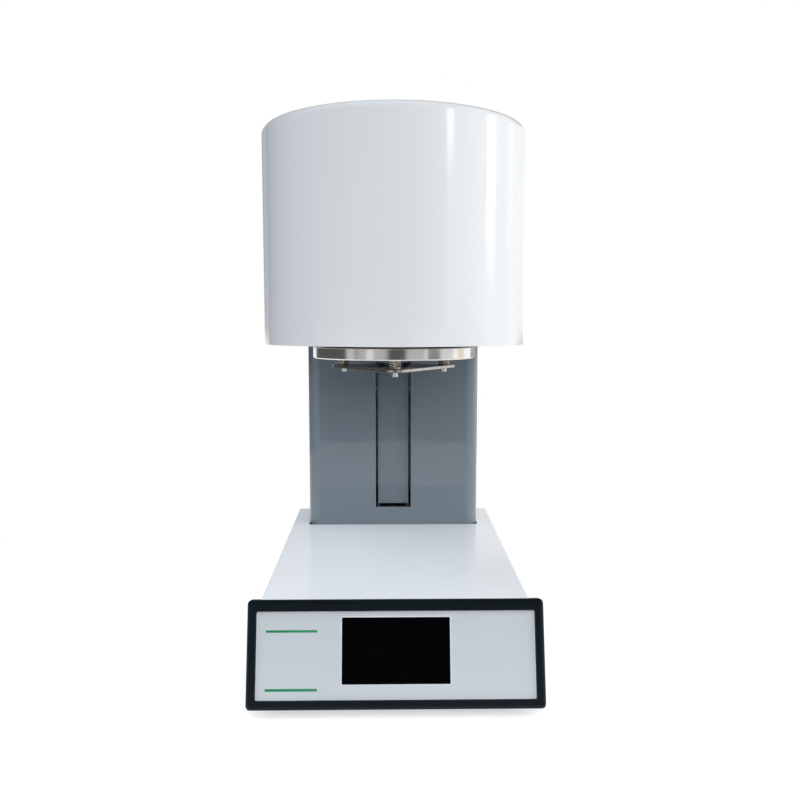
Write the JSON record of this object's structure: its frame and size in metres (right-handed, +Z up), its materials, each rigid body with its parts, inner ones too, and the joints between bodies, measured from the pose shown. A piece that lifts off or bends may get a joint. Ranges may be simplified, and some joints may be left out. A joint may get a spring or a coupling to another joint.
{
  "type": "dental porcelain furnace",
  "caption": "Benchtop dental furnace: round-fronted muffle head on a slotted column, spring-hung firing platform on a screw lift, low base with tilted touch-screen front.",
  "frame": {"origin": "centre of the furnace's footprint on the table, under the middle of its width and depth", "axes": "+Z up, the touch-screen front faces -Y, +X is to the right seen from the front"},
  "size_m": [0.297, 0.428, 0.6],
  "materials": {
    "case_white": "gloss white powder coat",
    "column_grey": "satin blue-grey paint",
    "frame_black": "satin black moulding",
    "fascia_silver": "silver-grey overlay film",
    "screen_glass": "glossy black touch glass",
    "dark_plastic": "moulded black plastic",
    "rocker_red": "gloss",
    "board_green": "solder mask",
    "rubber_black": "matt",
    "silicone_red": "satin",
    "zinc_sheet": "zinc-plated sheet",
    "aluminium": "machined",
    "brushed_steel": "turned or brushed",
    "bright_steel": "bright",
    "motor_black": "satin black",
    "brass": "machined",
    "copper": "drawn tube",
    "coil_wire": "oxidised resistance wire",
    "fibre_white": "vacuum-formed ceramic fibre",
    "ceramic": "fired ceramic"
  },
  "bodies": {
    "base": {"chassis": "zinc_sheet", "rubber_feet": "rubber_black", "front_plate": "zinc_sheet", "rear_panel": "case_white", "deck_cover": "case_white", "cover_screws": "bright_steel", "front_frame": "frame_black", "fascia": "fascia_silver", "touch_glass": "screen_glass", "display_module": "dark_plastic", "control_board": "board_green", "power_supply": "zinc_sheet", "heater_relay": "dark_plastic", "vacuum_valve": "brass", "hose_spigot": "brass", "power_inlet": "dark_plastic", "switch_body": "dark_plastic", "fan_frame": "dark_plastic", "fan_guard": "bright_steel", "column_shell": "column_grey", "column_rear_cover": "column_grey", "rear_screws": "bright_steel", "slot_strip": "column_grey", "mast": "zinc_sheet", "upper_plate": "aluminium", "lower_plate": "aluminium", "motor_plate": "aluminium", "guide_shafts": "bright_steel", "screw_bearings": "bright_steel", "lift_motor": "motor_black", "head_housing": "case_white", "head_rear_cover": "case_white", "head_floor": "zinc_sheet", "muffle_flange": "brushed_steel", "flange_screws": "bright_steel", "vacuum_bell": "brushed_steel", "muffle_lining": "fibre_white", "lining_cap": "fibre_white", "heating_muffle": "ceramic", "heating_coil": "coil_wire", "coil_leads": "bright_steel", "thermocouple": "bright_steel", "vacuum_pipe": "copper"},
    "screw": {"motor_shaft": "bright_steel", "shaft_coupling": "aluminium", "lead_screw": "brushed_steel"},
    "carriage": {"carriage_block": "aluminium", "guide_bushes": "brass", "lead_nut": "brass", "lift_arm": "brushed_steel", "arm_screws": "bright_steel", "spider_plate": "brushed_steel", "platform_springs": "bright_steel"},
    "platform": {"platform": "brushed_steel", "platform_seal": "silicone_red", "platform_bolts": "bright_steel", "pedestal": "fibre_white"},
    "tray": {"firing_tray": "ceramic"},
    "rocker": {"power_rocker": "rocker_red"},
    "fan": {"fan_rotor": "dark_plastic"}
  },
  "joints": [
    {"name": "lift", "type": "slide", "parent": "base", "child": "carriage", "axis": [0, 0, 1], "range_m": [-0.17, 0]},
    {"name": "screw_turn", "type": "hinge", "parent": "base", "child": "screw", "pos_m": [0, 0.151, 0], "axis": [0, 0, 1], "range_deg": [0, 6130]},
    {"name": "platform_float", "type": "slide", "parent": "carriage", "child": "platform", "axis": [0, 0, 1], "range_m": [-0.004, 0], "stiffness_N_per_m": 4000, "springref_m": 0.009, "deforming": ["platform_springs"]},
    {"name": "tray_lift", "type": "slide", "parent": "platform", "child": "tray", "axis": [0, 0, 1], "range_m": [0, 0.03]},
    {"name": "power_rocker", "type": "hinge", "parent": "base", "child": "rocker", "pos_m": [0.09725, 0.196, 0.07775], "axis": [1, 0, 0], "range_deg": [-20, 0]},
    {"name": "fan_turn", "type": "hinge", "parent": "base", "child": "fan", "pos_m": [-0.09725, 0.19, 0.0495], "axis": [0, 1, 0], "continuous": true}
  ],
  "couplings": [
    {"joint": "screw_turn", "follows": "lift", "rad_per_m": -628.32}
  ]
}
